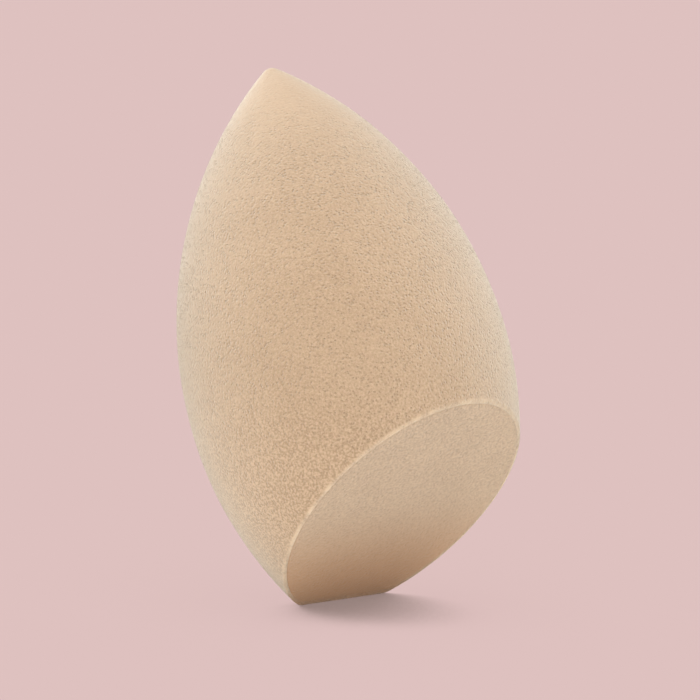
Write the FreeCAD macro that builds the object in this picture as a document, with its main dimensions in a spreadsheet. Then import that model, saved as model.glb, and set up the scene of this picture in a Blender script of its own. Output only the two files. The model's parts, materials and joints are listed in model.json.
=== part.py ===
"""Olive-shaped makeup sponge with one slanted flat cut, standing on the lower corner of that cut.

The foam is moulded as an olive, a turned form with a pointed nose and a pointed tail. A blade then
takes the tail off at a slant, which leaves the flat face that foundation is pressed on with. The mould
leaves a thin, dense skin all over the olive, and the blade lays the open-celled core bare, so the core
shows only at the cut.

Each body is drawn about its own axis, with the nose along +Z, the cut facing -Y and the origin in the
middle of the belly. Its placement then leans it back and stands it on the floor, Z = 0, with the middle
of the small flat foot at the origin. Millimetres and degrees.
"""

import FreeCAD, Part
import math
import os

import Sketcher

DRIVING_SIZES = {
    "belly_diameter": 40.0,   # the widest section of the olive
    "nose_length": 40.2,      # from the belly to the nose, were it left sharp
    "tail_length": 38.4,      # from the belly to the tail, before the cut takes it off
    "tip_radius": 1.4,        # rounding of the nose
    "skin_thickness": 0.4,    # dense outer layer that forms against the mould
    "cut_angle": 29.5,        # slant of the cut against a section square to the axis
    "cut_drop": 19.2,         # from the belly to where the cut crosses the axis
    "lean_angle": 20.5,       # how far the standing sponge leans back
    "foot_depth": 1.5,        # how much of the cut's lower corner is flat on the floor
}

# Radius of the discs that the flat cuts are made with, in lengths of the olive: well past the foam.
CUT_REACH = 2

FULL_TURN = 360
ORIGIN = FreeCAD.Vector(0, 0, 0)
X_AXIS = FreeCAD.Vector(1, 0, 0)
Z_AXIS = FreeCAD.Vector(0, 0, 1)

# A tilt to start from, which fixes the axis that a bound angle then turns about.
FIRST_TILT = 45

# Sketch shorthand: the two axes and the origin of a sketch, and the ends and centre of an arc or line.
ACROSS, AXIS = -1, -2
SKETCH_ORIGIN = (-1, 1)
START, END, CENTRE = 1, 2, 3


def write_sheet(doc):
    """The driving dimensions, one named cell each."""
    sheet = doc.addObject("Spreadsheet::Sheet", "sizes")
    for row, (name, value) in enumerate(DRIVING_SIZES.items(), start=1):
        sheet.set(f"A{row}", name)
        sheet.set(f"B{row}", str(value))
        sheet.setAlias(f"B{row}", name)
    doc.recompute()


def write_layout(doc):
    """Lengths that follow from the driving dimensions: the olive's two arcs and where the sponge stands.

    The corner is where the lower end of the cut meets the back of the olive, before it is flattened into
    a foot. Its out and drop are measured from the middle of the belly, square to the axis and along it.
    The foot's front and back are level distances from the middle of the belly, towards +Y once the olive
    leans back.
    """
    cut = "(sizes.cut_angle * 1 deg)"
    lean = "(sizes.lean_angle * 1 deg)"
    formulas = {
        "belly_radius": "sizes.belly_diameter / 2",
        "nose_arc": "(sizes.nose_length ^ 2 + .belly_radius ^ 2) / sizes.belly_diameter",
        "tail_arc": "(sizes.tail_length ^ 2 + .belly_radius ^ 2) / sizes.belly_diameter",
        "tail_offset": ".tail_arc - .belly_radius",
        "corner_reach": f"sizes.cut_drop * tan{cut} + .tail_offset",
        "corner_out": f"cos{cut} ^ 2 * (sqrt(.corner_reach ^ 2 - (.tail_offset ^ 2 + sizes.cut_drop ^ 2"
                      f" - .tail_arc ^ 2) / cos{cut} ^ 2) - .corner_reach)",
        "corner_drop": f"sizes.cut_drop + .corner_out * tan{cut}",
        "belly_height": f".corner_drop * cos{lean} + .corner_out * sin{lean} - sizes.foot_depth",
        "foot_front": f".corner_out * cos{lean} - .corner_drop * sin{lean}"
                      " - sizes.foot_depth / tan((sizes.lean_angle + sizes.cut_angle) * 1 deg)",
        "foot_back": f"sqrt(.tail_arc ^ 2 - (.belly_height + .tail_offset * sin{lean}) ^ 2)"
                     f" - .tail_offset * cos{lean}",
        "belly_back": "-(.foot_front + .foot_back) / 2",
        "cut_radius": f"{CUT_REACH} * (sizes.nose_length + sizes.tail_length)",
    }
    layout = doc.addObject("App::VarSet", "layout")
    for name, formula in formulas.items():
        layout.addProperty("App::PropertyFloat", name)
        layout.setExpression(name, formula)
        doc.recompute()


def new_sketch(body, name, role):
    """An empty sketch on one of the body's own origin planes."""
    plane = next(feature for feature in body.Origin.OriginFeatures if feature.Role == role)
    sketch = body.newObject("Sketcher::SketchObject", name)
    sketch.AttachmentSupport = [(plane, "")]
    sketch.MapMode = "FlatFace"
    return sketch


def bind(sketch, constraint, name, formula):
    """Adds a dimension to a sketch and ties it to the sheet."""
    index = sketch.addConstraint(constraint)
    sketch.renameConstraint(index, name)
    sketch.setExpression(f"Constraints.{name}", formula)


def arc_between(centre, start, end):
    """The arc about centre that runs counter-clockwise from start to end."""
    circle = Part.Circle(centre, Z_AXIS, (start - centre).Length)
    angles = [math.atan2(point.y - centre.y, point.x - centre.x) for point in (start, end)]
    return Part.ArcOfCircle(circle, *angles)


def draw_half_profile(body, inset):
    """Half of the olive's outline: nose arc, rounded tip and tail arc, closed along the axis.

    The sketch is drawn near its place, and its constraints then bring it to the sizes in the sheet.
    """
    layout = body.Document.layout
    sizes = body.Document.sizes
    sketch = new_sketch(body, f"{body.Name}_profile", "YZ_Plane")
    belly = FreeCAD.Vector(layout.belly_radius, 0, 0)
    tail = FreeCAD.Vector(0, -sizes.tail_length, 0)
    tip = FreeCAD.Vector(0, sizes.nose_length, 0)
    nose_centre = FreeCAD.Vector(layout.belly_radius - layout.nose_arc, 0, 0)
    tail_centre = FreeCAD.Vector(layout.belly_radius - layout.tail_arc, 0, 0)
    tip_centre = tip - FreeCAD.Vector(0, sizes.tip_radius, 0)
    shoulder = tip_centre + (tip_centre - nose_centre).normalize() * sizes.tip_radius

    nose_arc = sketch.addGeometry(arc_between(nose_centre, belly, shoulder))
    tip_arc = sketch.addGeometry(arc_between(tip_centre, shoulder, tip))
    axis_line = sketch.addGeometry(Part.LineSegment(tip, tail))
    tail_arc = sketch.addGeometry(arc_between(tail_centre, tail, belly))

    joins = [(tip_arc, END, axis_line, START), (axis_line, END, tail_arc, START),
             (tail_arc, END, nose_arc, START)]
    for join in joins:
        sketch.addConstraint(Sketcher.Constraint("Coincident", *join))
    sketch.addConstraint(Sketcher.Constraint("Tangent", nose_arc, END, tip_arc, START))
    on_lines = [(nose_arc, CENTRE, ACROSS), (tail_arc, CENTRE, ACROSS), (nose_arc, START, ACROSS),
                (tip_arc, CENTRE, AXIS), (tip_arc, END, AXIS), (tail_arc, START, AXIS)]
    for on_line in on_lines:
        sketch.addConstraint(Sketcher.Constraint("PointOnObject", *on_line))

    belly_out = Sketcher.Constraint("DistanceX", *SKETCH_ORIGIN, nose_arc, START, layout.belly_radius)
    nose_size = Sketcher.Constraint("Radius", nose_arc, layout.nose_arc)
    tail_size = Sketcher.Constraint("Radius", tail_arc, layout.tail_arc)
    tip_size = Sketcher.Constraint("Radius", tip_arc, sizes.tip_radius)
    bind(sketch, belly_out, "belly_out", f"layout.belly_radius - {inset}")
    bind(sketch, nose_size, "nose_size", f"layout.nose_arc - {inset}")
    bind(sketch, tail_size, "tail_size", f"layout.tail_arc - {inset}")
    bind(sketch, tip_size, "tip_size", "sizes.tip_radius")
    return sketch


def turn_olive(body, inset):
    """The whole olive, turned about its axis."""
    profile = draw_half_profile(body, inset)
    olive = body.newObject("PartDesign::Revolution", f"{body.Name}_olive")
    olive.Profile = profile
    olive.ReferenceAxis = (profile, ["V_Axis"])
    olive.Angle = FULL_TURN
    body.Document.recompute()


def slice_flat(body, name, tilt_axis, tilt, back, drop):
    """Takes off everything under a flat plane that is tilted about the X axis, as one stroke of a blade."""
    doc = body.Document
    volume_before = body.Shape.Volume
    blade = new_sketch(body, f"{body.Name}_{name}_blade", "XY_Plane")
    blade.AttachmentOffset = FreeCAD.Placement(ORIGIN, FreeCAD.Rotation(tilt_axis, FIRST_TILT))
    blade.setExpression("AttachmentOffset.Rotation.Angle", tilt)
    blade.setExpression("AttachmentOffset.Base.y", back)
    blade.setExpression("AttachmentOffset.Base.z", f"-({drop})")
    disc = blade.addGeometry(Part.Circle(ORIGIN, Z_AXIS, doc.layout.cut_radius))
    blade.addConstraint(Sketcher.Constraint("Coincident", disc, CENTRE, *SKETCH_ORIGIN))
    bind(blade, Sketcher.Constraint("Radius", disc, doc.layout.cut_radius), "reach", "layout.cut_radius")
    pocket = body.newObject("PartDesign::Pocket", f"{body.Name}_{name}")
    pocket.Profile = blade
    pocket.Type = "ThroughAll"
    doc.recompute()
    if not 0 < body.Shape.Volume < volume_before:
        raise RuntimeError(f"{pocket.Name} took nothing off, or everything")


def cut_olive(doc, name, inset):
    """An olive set in from the outside by inset, its tail cut off at a slant, standing on a flat foot."""
    body = doc.addObject("PartDesign::Body", name)
    body.Label = name
    turn_olive(body, inset)
    slice_flat(body, "slant", -X_AXIS, "sizes.cut_angle", "0", "sizes.cut_drop")
    foot_below = f"(layout.belly_height - {inset})"
    foot_back = f"{foot_below} * sin(sizes.lean_angle * 1 deg)"
    foot_drop = f"{foot_below} * cos(sizes.lean_angle * 1 deg)"
    slice_flat(body, "foot", X_AXIS, "sizes.lean_angle", foot_back, foot_drop)
    body.Placement = FreeCAD.Placement(ORIGIN, FreeCAD.Rotation(-X_AXIS, FIRST_TILT))
    body.setExpression("Placement.Rotation.Angle", "sizes.lean_angle")
    body.setExpression("Placement.Base.y", "layout.belly_back")
    body.setExpression("Placement.Base.z", "layout.belly_height")
    doc.recompute()
    return body


def moulded_skin(doc, outer_form, core):
    """What the core leaves of the outer form: a skin, open at the slanted cut, that carries the foot."""
    skin = doc.addObject("Part::Cut", "moulded_skin")
    skin.Label = "moulded_skin"
    skin.Base = outer_form
    skin.Tool = core
    doc.recompute()
    return skin


def write_parts(doc, sub_parts):
    """Writes each sub-part to its own file, once the whole document is sound."""
    failed = [item.Name for item in doc.Objects if {"Invalid", "Error"} & set(item.State)]
    if failed:
        raise RuntimeError(f"failed objects: {failed}")
    for sub_part in sub_parts:
        if sub_part.Shape.isNull() or not sub_part.Shape.isValid() or len(sub_part.Shape.Solids) != 1:
            raise RuntimeError(f"{sub_part.Label} is not one sound solid")
    os.makedirs("parts", exist_ok=True)
    for sub_part in sub_parts:
        sub_part.Shape.exportStep(f"parts/{sub_part.Label}.step")
        print(sub_part.Label, f"{sub_part.Shape.Volume:.1f} mm3")


sponge = FreeCAD.newDocument("makeup_sponge")
write_sheet(sponge)
write_layout(sponge)
outer = cut_olive(sponge, "outer_form", "0")
foam_core = cut_olive(sponge, "foam_core", "sizes.skin_thickness")
write_parts(sponge, [foam_core, moulded_skin(sponge, outer, foam_core)])
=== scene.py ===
import json
import math

import bpy
import numpy as np
from mathutils import Matrix, Vector, noise


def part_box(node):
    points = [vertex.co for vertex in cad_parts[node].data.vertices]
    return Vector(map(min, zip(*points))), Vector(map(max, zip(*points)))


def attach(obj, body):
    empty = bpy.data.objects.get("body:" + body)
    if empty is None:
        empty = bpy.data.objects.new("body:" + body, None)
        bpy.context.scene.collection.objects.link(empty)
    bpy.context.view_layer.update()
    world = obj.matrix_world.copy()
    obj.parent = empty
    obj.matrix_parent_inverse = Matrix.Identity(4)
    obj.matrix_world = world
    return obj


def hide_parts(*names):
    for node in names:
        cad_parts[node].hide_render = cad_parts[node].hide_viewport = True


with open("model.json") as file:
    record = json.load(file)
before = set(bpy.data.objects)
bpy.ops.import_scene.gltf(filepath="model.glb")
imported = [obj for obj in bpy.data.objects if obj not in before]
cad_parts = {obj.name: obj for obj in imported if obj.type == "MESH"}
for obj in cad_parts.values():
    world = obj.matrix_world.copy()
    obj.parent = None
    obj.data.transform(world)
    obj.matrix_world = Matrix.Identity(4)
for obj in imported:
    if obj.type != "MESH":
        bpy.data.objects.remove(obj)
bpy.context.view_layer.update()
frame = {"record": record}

MM = 0.001
TURN = 2 * math.pi

# Form of the sponge, as in the solids: an olive of two arcs with a rounded nose, leaning back.
NOSE_LENGTH = 40.2 * MM
TAIL_LENGTH = 38.4 * MM
TIP_RADIUS = 1.4 * MM
SKIN_THICKNESS = 0.4 * MM
LEAN = math.radians(20.5)

# Softness that the solids leave out: the rounding of the foot's edge and of the skin's cut rim. The rim's
# shares are heights over the foot and how much it shows there. A higher power makes a flatter crown or face.
FOOT_ROUNDING = 0.24 * MM
RIM_ROUNDING = 0.14 * MM
RIM_RISE = 0.06 * MM
RIM_WIDTH = 0.22 * MM
RIM_SHARES = ((0, 5 * MM, 11 * MM, 24 * MM), (0, 0.85, 0.8, 0.75))
RIM_RAGGEDNESS = (1.1 * MM, 1.2)
RIM_CROWN_POWER = 4
FACE_EDGE_POWER = 8
CORE_CLEARANCE = 0.01 * MM

# Fineness of the meshes.
MERIDIANS = 384
SKIN_RINGS = 214
HIDDEN_RINGS = 16
CUT_RINGS = 62
RIM_STEPS = 6
EDGE_STEPS = (0.34 * MM, 0.2 * MM, 0.11 * MM, 0.05 * MM, 0.0)
PATH_SAMPLES = 700
BISECTIONS = 40

# Stand-ins for a slope too small to count, a plane that is never met and a length too small to divide by.
TINY_SLOPE = 1e-6
FAR_OFF = 1.0
TINY_LENGTH = 1e-12

# Relief in the mesh: wavelength and height of the slow unevenness and of the grain.
SWELL = (11 * MM, 0.07 * MM)
GRAIN = (0.75 * MM, 0.012 * MM)
CUT_SWELL = (9 * MM, 0.05 * MM)
CUT_GRAIN = (0.7 * MM, 0.01 * MM)

# Camera, fitted to the photograph's outline: where it stands, and the middle of the picture from the belly.
CAMERA_AZIMUTH = math.radians(-43.9)
CAMERA_ELEVATION = math.radians(5.55)
CAMERA_DISTANCE = 509.7 * MM
CAMERA_AIM = (0.19 * MM, 3.5 * MM)
CAMERA_LENS = 216.0
CAMERA_CLIP = (0.05, 50.0)

# Foam of the skin and of the cut. Colours are linear, for the high and the low spots of the grain.
# Bloom is the weight of the pale sheen. The shares change with height over the foot, each given as
# two heights and the values there: how strong the grain is, and how much of it colour and bump show.
EVERYWHERE = (0.0, 1.0, 1.0, 1.0)
SKIN_FOAM = {
    "pale": (0.80, 0.59, 0.40), "deep": (0.59, 0.397, 0.246), "bloom": 0.95,
    "grain": 0.25 * MM, "pit": 0.44 * MM, "patch": 7 * MM, "pit_depth": 0.45, "bump": 0.23 * MM,
    "grain_share": (64.5 * MM, 53 * MM, 0.35, 1.0),
    "colour_share": (32 * MM, 8 * MM, 0.8, 2.4),
    "bump_share": (34 * MM, 8 * MM, 1.0, 0.56),
}
CUT_FOAM = {
    "pale": (0.81, 0.60, 0.41), "deep": (0.57, 0.385, 0.245), "bloom": 0.75,
    "grain": 0.26 * MM, "pit": 0.5 * MM, "patch": 6 * MM, "pit_depth": 0.3, "bump": 0.14 * MM,
    "grain_share": (6 * MM, 26 * MM, 0.8, 1.2),
    "colour_share": EVERYWHERE,
    "bump_share": EVERYWHERE,
}

# What both foams share: noise settings, how noise becomes pits and tones, and the matte finish.
GRAIN_DETAIL = 2.0
GRAIN_ROUGHNESS = 0.62
PATCH_DETAIL = 1.0
PIT_SLOPE = (0.42, 0.1)
MIDDLE_TONE = 0.5
TONE_RANGE = (0.2, 0.8)
PATCH_RANGE = (0.3, 0.7, 0.45, 0.55)
FOAM_ROUGHNESS = 0.95
FOAM_DIFFUSE_ROUGHNESS = 0.6
FOAM_SPECULAR = 0.1
BLOOM_ROUGHNESS = 0.52
BLOOM_TINT = (1.0, 0.95, 0.85)

# Painted shade: a deeper, warmer tint towards the floor, with the heights between which it comes in; and the
# cut's pale rim.
LOW_SHADE_COLOUR = (0.66, 0.325, 0.135)
SKIN_LOW_SHADE = (2.5 * MM, 0.2 * MM, 0.0, 0.8)
CUT_LOW_SHADE = (14 * MM, 0.0, 0.0, 0.8)
RIM_COLOUR = (0.98, 0.78, 0.56)
RIM_PALENESS = 0.62

# Floor: its colour to the camera and to other rays, its glow to the camera, and the shadow painted into it
# under the sponge.
FLOOR_COLOUR = (0.730, 0.533, 0.521)
FLOOR_BOUNCE = (0.85, 0.84, 0.82)
FLOOR_RADIUS = 6.0
FLOOR_SIDES = 96
FLOOR_GLOW = 0.95
FLOOR_GLOW_STRENGTH = 0.985
CONTACT_COLOUR = (0.305, 0.223, 0.202)
CONTACT_REACH = 29 * MM
CONTACT_LIGHT = (math.radians(140), math.radians(30))
CONTACT_SHADE = (0.27, 0.60)
CONTACT_SAMPLES = 24

# Light: an even sky, and soft lamps given as azimuth, elevation and spread in degrees, and strength.
SKY = 0.08
LAMPS = {
    "top_light": (-44, 80, 60, 2.0),
    "left_light": (-114, 30, 70, 0.2),
    "low_left_light": (-155, 10, 40, 0.9),
    "right_light": (44, 55, 70, 0.4),
    "front_light": (-44, 12, 60, 1.08),
    "back_light": (136, 50, 60, 1.35),
}


class Olive:
    """The foam's form about its own axis, measured from the middle of the belly, with the nose along +Z.

    A point is given by its meridian, the angle round the axis, and by its tilt, the angle from the nose.
    """

    def __init__(self):
        low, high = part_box("moulded_skin")
        mounts = {mount["name"]: mount for mount in frame["record"]["mounts"]}
        cut = mounts["cut_face"]
        self.belly = (high.x - low.x) / 2
        self.nose_arc = (NOSE_LENGTH ** 2 + self.belly ** 2) / (2 * self.belly)
        self.tail_arc = (TAIL_LENGTH ** 2 + self.belly ** 2) / (2 * self.belly)
        back = (self.belly - self.nose_arc) * math.cos(LEAN) + self.nose_arc
        rise = self.tip_centre(0) * math.cos(LEAN) + TIP_RADIUS
        self.centre = Vector((0, high.y - back, high.z - rise))
        self.stand = Matrix.Translation(self.centre) @ Matrix.Rotation(-LEAN, 4, "X")
        self.foot_drop = self.centre.z - mounts["foot"]["pos_m"][2]
        to_own_axis = self.stand.inverted()
        self.cut_normal = np.array(to_own_axis.to_3x3() @ Vector(cut["axis"]))
        self.cut_offset = float(self.cut_normal @ np.array(to_own_axis @ Vector(cut["pos_m"])))
        self.cut_middle = np.array((0, 0, self.cut_offset / self.cut_normal[2]))

    def tip_centre(self, inset):
        """Height of the middle of the nose's rounding over the belly."""
        return math.sqrt((self.nose_arc - inset - TIP_RADIUS) ** 2 - (self.nose_arc - self.belly) ** 2)

    def direction(self, meridian, tilt):
        """Unit vector from the belly's middle."""
        level = np.sin(tilt)
        return np.stack([level * np.cos(meridian), level * np.sin(meridian), np.cos(tilt)], -1)

    def olive_reach(self, tilt, inset):
        """Distance from the belly's middle to the olive's surface."""
        reach = []
        for arc in (self.nose_arc, self.tail_arc):
            along = np.sin(tilt) * (self.belly - arc)
            reach.append(along + np.sqrt(along ** 2 - (self.belly - arc) ** 2 + (arc - inset) ** 2))
        tip = self.tip_centre(inset)
        lift = TIP_RADIUS / (self.nose_arc - inset - TIP_RADIUS)
        shoulder = math.atan2(lift * (self.nose_arc - self.belly), tip * (1 + lift))
        on_tip = np.cos(tilt) * tip
        tip_reach = on_tip + np.sqrt(np.maximum(on_tip ** 2 - tip ** 2 + TIP_RADIUS ** 2, 0))
        olive = np.where(tilt < math.pi / 2, *reach)
        return np.where(tilt < shoulder, tip_reach, olive)

    def reach(self, meridian, tilt, inset):
        """The same, with the foot taken off and its edge rounded."""
        olive = self.olive_reach(tilt, inset)
        fall = math.sin(LEAN) * np.sin(tilt) * np.sin(meridian) - math.cos(LEAN) * np.cos(tilt)
        foot = (self.foot_drop - inset) / np.maximum(fall, TINY_SLOPE)
        foot = np.where(fall > TINY_SLOPE, foot, FAR_OFF)
        near = np.maximum(FOOT_ROUNDING - np.abs(olive - foot), 0) / FOOT_ROUNDING
        return np.minimum(olive, foot) - near ** 2 * FOOT_ROUNDING / 4

    def cut_reach(self, meridian, tilt):
        """Distance from the belly's middle to the plane of the cut."""
        ahead = self.direction(meridian, tilt) @ self.cut_normal
        return np.where(ahead > TINY_SLOPE, self.cut_offset / np.maximum(ahead, TINY_SLOPE), FAR_OFF)

    def rim_tilt(self, meridian, inset):
        """Tilt at which each meridian reaches the cut."""
        low, high = np.zeros_like(meridian), np.full_like(meridian, math.pi)
        for _ in range(BISECTIONS):
            middle = (low + high) / 2
            inside = self.reach(meridian, middle, inset) < self.cut_reach(meridian, middle)
            low = np.where(inside, middle, low)
            high = np.where(inside, high, middle)
        return low

    def meridian_paths(self, meridian, inset):
        """Points from the nose to the cut along each meridian, and the length walked to each."""
        share = np.linspace(0, 1, PATH_SAMPLES)[:, None]
        tilt = share * self.rim_tilt(meridian, inset)
        points = self.direction(meridian, tilt) * self.reach(meridian, tilt, inset)[..., None]
        steps = np.linalg.norm(np.diff(points, axis=0), axis=2)
        walked = np.vstack([np.zeros(len(meridian)), np.cumsum(steps, axis=0)])
        return points, walked

    def rings(self, meridian, inset, count, edge_steps=(0.0,)):
        """Rings of points from just off the nose to the cut, with extra ones close to the cut."""
        points, walked = self.meridian_paths(meridian, inset)
        rings = np.zeros((count + len(edge_steps), len(meridian), 3))
        for i in range(len(meridian)):
            length = walked[-1, i]
            stops = np.linspace(0, length - edge_steps[0], count + 1)[1:]
            stops = np.concatenate([stops, length - np.array(edge_steps)])
            # The last even stop falls on the first extra one, so it moves halfway back.
            stops[count - 1] = (stops[count - 2] + stops[count]) / 2
            for axis in range(3):
                rings[:, i, axis] = np.interp(stops, walked[:, i], points[:, i, axis])
        return rings

    def height(self, points):
        """Height over the foot of points about the olive's own axis."""
        return points @ np.array(self.stand.to_3x3()[2]) + self.foot_drop

    def nose(self, inset):
        return np.array((0, 0, self.olive_reach(np.zeros(1), inset)[0]))


def ring_normals(rings):
    """Outward normals of a stack of closed rings."""
    round_the_ring = np.roll(rings, -1, axis=1) - np.roll(rings, 1, axis=1)
    along = np.gradient(rings, axis=0)
    normals = np.cross(along, round_the_ring)
    return normals / np.maximum(np.linalg.norm(normals, axis=2, keepdims=True), TINY_LENGTH)


def relief(points, wavelength, height):
    """Smooth, repeatable unevenness at each point."""
    flat = points.reshape(-1, 3) / wavelength
    values = np.array([noise.noise(Vector(point)) for point in flat])
    return (values * height).reshape(points.shape[:-1])


def build_mesh(name, stacks, first_pole, last_pole):
    """A closed mesh through a stack of rings, with a pole at each end. Faces point outwards."""
    rings = np.concatenate(stacks)
    count, sides = rings.shape[:2]
    vertices = np.vstack([first_pole[None], rings.reshape(-1, 3), last_pole[None]])
    index = 1 + np.arange(count * sides).reshape(count, sides)
    after = np.roll(index, -1, axis=1)
    quads = np.stack([index[:-1], index[1:], after[1:], after[:-1]], -1).reshape(-1, 4)
    last = len(vertices) - 1
    faces = [(0, a, b) for a, b in zip(index[0], after[0])]
    faces += [tuple(quad) for quad in quads]
    faces += [(last, b, a) for a, b in zip(index[-1], after[-1])]
    mesh = bpy.data.meshes.new(name)
    mesh.from_pydata(vertices, [], faces)
    mesh.shade_smooth()
    return mesh


def place(olive, name, mesh, material, node):
    """Stands a mesh up where the solids stand, hides the solid that it is the looks of, and hangs it on the
    root body.
    """
    mesh.transform(olive.stand)
    mesh.materials.append(material)
    piece = bpy.data.objects.new(name, mesh)
    bpy.context.scene.collection.objects.link(piece)
    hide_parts(node)
    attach(piece, "root")
    return piece


def mark(mesh, name, values):
    """Stores one number per vertex for the material."""
    attribute = mesh.attributes.new(name, "FLOAT", "POINT")
    attribute.data.foreach_set("value", np.asarray(values, np.float32))


def make_skin(olive, material):
    """The moulded skin: its outside, the rounded rim that the blade left, and its hidden inside."""
    meridian = np.linspace(0, TURN, MERIDIANS, endpoint=False)
    outside = olive.rings(meridian, 0, SKIN_RINGS, EDGE_STEPS)
    inside = olive.rings(meridian, SKIN_THICKNESS, HIDDEN_RINGS)[::-1]
    normals = ring_normals(outside)
    outer_edge, inner_edge = outside[-1].copy(), inside[0].copy()

    lift = relief(outside, *SWELL) + relief(outside, *GRAIN)
    to_edge = np.linalg.norm(outside - outer_edge, axis=2)
    tuck = np.maximum(RIM_ROUNDING - to_edge, 0) ** 2 / (2 * RIM_ROUNDING)
    outside += normals * (lift - tuck)[..., None]

    across = np.linspace(0, 1, RIM_STEPS + 2)[1:-1, None, None]
    rim = outer_edge + (inner_edge - outer_edge) * across
    rim += normals[-1] * ((lift - tuck)[-1][:, None] * (1 - across))
    shares = np.interp(olive.height(outer_edge), *RIM_SHARES)
    proud = shares * (1 + relief(outer_edge, *RIM_RAGGEDNESS))
    crown = 1 - (2 * across - 1) ** RIM_CROWN_POWER
    rim += olive.cut_normal * RIM_RISE * proud[:, None] * crown

    mesh = build_mesh("sponge_skin", [outside, rim, inside], olive.nose(0), olive.nose(SKIN_THICKNESS))
    near_rim = np.exp(-(to_edge / RIM_WIDTH) ** 2) * proud
    paleness = [near_rim, np.tile(proud, (RIM_STEPS, 1)), np.zeros(inside.shape[:2])]
    mark(mesh, "rim", np.concatenate([[0], np.concatenate(paleness).ravel(), [0]]))
    return place(olive, "sponge_skin", mesh, material, "moulded_skin")


def make_core(olive, material):
    """The foam inside the skin, with the face that the blade laid bare."""
    meridian = np.linspace(0, TURN, MERIDIANS, endpoint=False)
    inset = SKIN_THICKNESS + CORE_CLEARANCE
    hidden = olive.rings(meridian, inset, HIDDEN_RINGS)
    edge = hidden[-1]
    share = np.linspace(1, 0, CUT_RINGS + 1)[1:-1, None, None]
    face = olive.cut_middle + (edge - olive.cut_middle) * share
    lift = relief(face, *CUT_SWELL) + relief(face, *CUT_GRAIN)
    inward = 1 - share[..., 0] ** FACE_EDGE_POWER
    face += olive.cut_normal * (lift * inward)[..., None]
    mesh = build_mesh("sponge_core", [hidden, face], olive.nose(inset), olive.cut_middle)
    return place(olive, "sponge_core", mesh, material, "foam_core")


class Nodes:
    """Short calls for building a material's node tree."""

    def __init__(self, material):
        material.use_nodes = True
        self.tree = material.node_tree
        self.tree.nodes.clear()

    def add(self, kind, settings=None, **inputs):
        node = self.tree.nodes.new(kind)
        for name, value in (settings or {}).items():
            setattr(node, name, value)
        for name, value in inputs.items():
            self.feed(node.inputs[name.replace("_", " ")], value)
        return node

    def feed(self, socket, value):
        if isinstance(value, bpy.types.NodeSocket):
            self.tree.links.new(value, socket)
        else:
            socket.default_value = value

    def math(self, operation, *values):
        node = self.add("ShaderNodeMath", {"operation": operation})
        for socket, value in zip(node.inputs, values):
            self.feed(socket, value)
        return node.outputs[0]

    def ramp(self, value, low, high, out_low=0.0, out_high=1.0):
        node = self.add("ShaderNodeMapRange", {"interpolation_type": "SMOOTHSTEP"})
        for name, number in (("Value", value), ("From Min", low), ("From Max", high),
                             ("To Min", out_low), ("To Max", out_high)):
            self.feed(node.inputs[name], number)
        return node.outputs["Result"]

    def blend(self, share, first, second):
        node = self.add("ShaderNodeMix", {"data_type": "RGBA"})
        self.feed(node.inputs["Factor"], share)
        for socket, value in ((node.inputs[6], first), (node.inputs[7], second)):
            self.feed(socket, value if isinstance(value, bpy.types.NodeSocket) else (*value, 1))
        return node.outputs[2]

    def mix(self, share, first, second):
        node = self.add("ShaderNodeMixShader")
        for socket, value in zip(node.inputs, (share, first, second)):
            self.feed(socket, value)
        return node.outputs["Shader"]

    def noise(self, spot, size, detail, roughness=0.5):
        node = self.add("ShaderNodeTexNoise", Vector=spot, Scale=1 / size)
        self.feed(node.inputs["Detail"], detail)
        self.feed(node.inputs["Roughness"], roughness)
        return node.outputs["Fac"]

    def cells(self, spot, size):
        node = self.add("ShaderNodeTexVoronoi", Vector=spot, Scale=1 / size)
        return node.outputs["Distance"]


def foam_material(name, foam):
    """Matte foam: fine grain with shallow pits, slow changes of tone, and a pale bloom at its edges."""
    material = bpy.data.materials.new(name)
    nodes = Nodes(material)
    spot = nodes.add("ShaderNodeTexCoord").outputs["Object"]
    height = nodes.add("ShaderNodeSeparateXYZ", Vector=spot).outputs["Z"]
    share = nodes.ramp(height, *foam["grain_share"])
    colour_share = nodes.math("MULTIPLY", share, nodes.ramp(height, *foam["colour_share"]))
    bump_share = nodes.math("MULTIPLY", share, nodes.ramp(height, *foam["bump_share"]))
    grain = nodes.noise(spot, foam["grain"], GRAIN_DETAIL, GRAIN_ROUGHNESS)
    pits = nodes.ramp(nodes.cells(spot, foam["pit"]), *PIT_SLOPE)
    patches = nodes.noise(spot, foam["patch"], PATCH_DETAIL)
    surface = nodes.math("MULTIPLY_ADD", pits, -foam["pit_depth"], grain)
    tone = nodes.math("SUBTRACT", MIDDLE_TONE, nodes.ramp(surface, *TONE_RANGE))
    tone = nodes.math("MULTIPLY_ADD", tone, colour_share, nodes.ramp(patches, *PATCH_RANGE))
    colour = nodes.blend(tone, foam["pale"], foam["deep"])
    bump = nodes.add("ShaderNodeBump", Strength=bump_share, Distance=foam["bump"], Height=surface)
    shader = nodes.add("ShaderNodeBsdfPrincipled", Roughness=FOAM_ROUGHNESS, Normal=bump.outputs["Normal"])
    shader.inputs["Specular IOR Level"].default_value = FOAM_SPECULAR
    shader.inputs["Diffuse Roughness"].default_value = FOAM_DIFFUSE_ROUGHNESS
    shader.inputs["Sheen Weight"].default_value = foam["bloom"]
    shader.inputs["Sheen Roughness"].default_value = BLOOM_ROUGHNESS
    shader.inputs["Sheen Tint"].default_value = (*BLOOM_TINT, 1)
    nodes.add("ShaderNodeOutputMaterial", Surface=shader.outputs["BSDF"])
    return material, nodes, shader, colour, height


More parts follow.
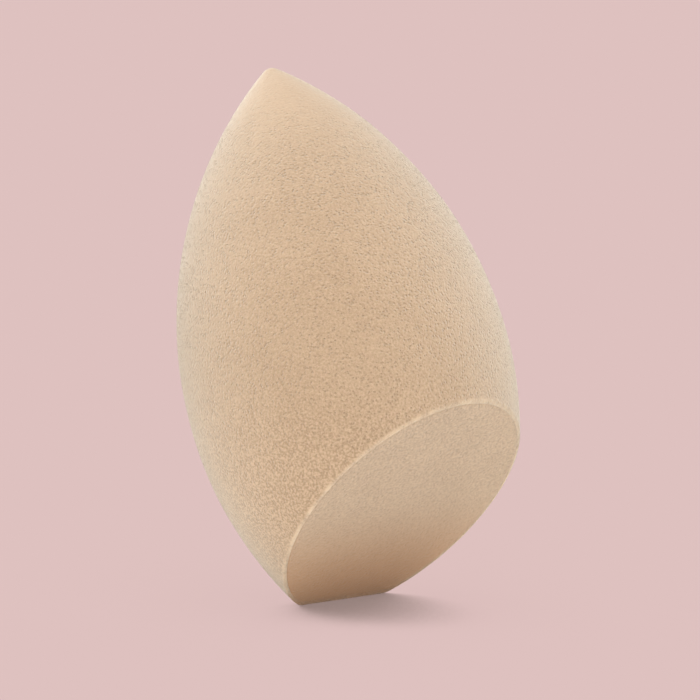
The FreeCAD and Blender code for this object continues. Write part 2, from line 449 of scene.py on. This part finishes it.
def skin_material():
    """The moulded skin is paler along the cut's rim, and has painted shade, deeper and warmer, just over the
    floor.
    """
    material, nodes, shader, colour, height = foam_material("moulded_foam", SKIN_FOAM)
    rim = nodes.add("ShaderNodeAttribute", {"attribute_name": "rim"}).outputs["Fac"]
    pale_rim = nodes.blend(nodes.math("MULTIPLY", rim, RIM_PALENESS), colour, RIM_COLOUR)
    # Painted shade: the colour turns deeper and warmer just over the floor.
    low_shade = nodes.blend(nodes.ramp(height, *SKIN_LOW_SHADE), pale_rim, LOW_SHADE_COLOUR)
    nodes.feed(shader.inputs["Base Color"], low_shade)
    return material


def cut_material():
    """The cut foam has painted shade: a little deeper and warmer towards the foot."""
    material, nodes, shader, colour, height = foam_material("cut_foam", CUT_FOAM)
    # Painted shade: the colour turns deeper and warmer towards the foot.
    low_shade = nodes.blend(nodes.ramp(height, *CUT_LOW_SHADE), colour, LOW_SHADE_COLOUR)
    nodes.feed(shader.inputs["Base Color"], low_shade)
    return material


def floor_material():
    """Plain pale floor. It throws white light back, and what the camera sees of it mostly glows, with a
    painted shadow under the sponge.
    """
    material = bpy.data.materials.new("studio_floor")
    nodes = Nodes(material)
    seen = nodes.add("ShaderNodeLightPath").outputs["Is Camera Ray"]
    # Painted shadow: occlusion, leaning towards CONTACT_LIGHT, darkens the colour that glows to the camera.
    x, y, z = towards(*CONTACT_LIGHT)
    lean = nodes.add("ShaderNodeCombineXYZ", X=x, Y=y, Z=z).outputs["Vector"]
    contact = nodes.add("ShaderNodeAmbientOcclusion", {"samples": CONTACT_SAMPLES},
                        Distance=CONTACT_REACH, Normal=lean)
    clear = nodes.ramp(contact.outputs["AO"], *CONTACT_SHADE)
    shown = nodes.blend(clear, CONTACT_COLOUR, FLOOR_COLOUR)
    matte = nodes.add("ShaderNodeBsdfDiffuse", Color=nodes.blend(seen, FLOOR_BOUNCE, shown))
    glow = nodes.add("ShaderNodeEmission", Color=shown, Strength=FLOOR_GLOW_STRENGTH)
    glowing = nodes.math("MULTIPLY", seen, FLOOR_GLOW)
    both = nodes.mix(glowing, matte.outputs["BSDF"], glow.outputs["Emission"])
    nodes.add("ShaderNodeOutputMaterial", Surface=both)
    return material


def make_floor():
    """A wide round floor that the sponge stands on."""
    angles = np.linspace(0, TURN, FLOOR_SIDES, endpoint=False)
    corners = [(FLOOR_RADIUS * math.cos(a), FLOOR_RADIUS * math.sin(a), 0) for a in angles]
    mesh = bpy.data.meshes.new("floor")
    mesh.from_pydata(corners, [], [range(FLOOR_SIDES)])
    mesh.materials.append(floor_material())
    floor = bpy.data.objects.new("floor", mesh)
    bpy.context.scene.collection.objects.link(floor)


def towards(azimuth, elevation):
    """Unit vector from the object towards a place given as azimuth and elevation, in radians."""
    level = math.cos(elevation)
    return Vector((math.sin(azimuth) * level, -math.cos(azimuth) * level, math.sin(elevation)))


def make_light():
    """An even sky, which the camera sees in the floor's colour, and soft lamps far away."""
    world = bpy.data.worlds.new("studio")
    bpy.context.scene.world = world
    nodes = Nodes(world)
    seen = nodes.add("ShaderNodeLightPath").outputs["Is Camera Ray"]
    sky = nodes.add("ShaderNodeBackground", Color=(1, 1, 1, 1), Strength=SKY)
    backdrop = nodes.add("ShaderNodeBackground", Color=(*FLOOR_COLOUR, 1), Strength=1.0)
    both = nodes.mix(seen, sky.outputs["Background"], backdrop.outputs["Background"])
    nodes.add("ShaderNodeOutputWorld", Surface=both)
    for name, (azimuth, elevation, spread, strength) in LAMPS.items():
        data = bpy.data.lights.new(name, "SUN")
        data.energy = strength
        data.angle = math.radians(spread)
        lamp = bpy.data.objects.new(name, data)
        source = towards(math.radians(azimuth), math.radians(elevation))
        lamp.rotation_mode = "QUATERNION"
        lamp.rotation_quaternion = source.to_track_quat("Z", "Y")
        bpy.context.scene.collection.objects.link(lamp)


def make_camera(olive):
    """The camera, turned towards the photograph's middle."""
    back = towards(CAMERA_AZIMUTH, CAMERA_ELEVATION)
    turn = back.to_track_quat("Z", "Y")
    aim = olive.centre + turn @ Vector((*CAMERA_AIM, 0))
    data = bpy.data.cameras.new("camera")
    data.lens = CAMERA_LENS
    data.clip_start, data.clip_end = CAMERA_CLIP
    camera = bpy.data.objects.new("camera", data)
    camera.location = aim + back * CAMERA_DISTANCE
    camera.rotation_mode = "QUATERNION"
    camera.rotation_quaternion = turn
    bpy.context.scene.collection.objects.link(camera)
    bpy.context.scene.camera = camera


bpy.context.scene.view_settings.view_transform = "Standard"
sponge = Olive()
make_camera(sponge)
make_light()
make_floor()
make_skin(sponge, skin_material())
make_core(sponge, cut_material())
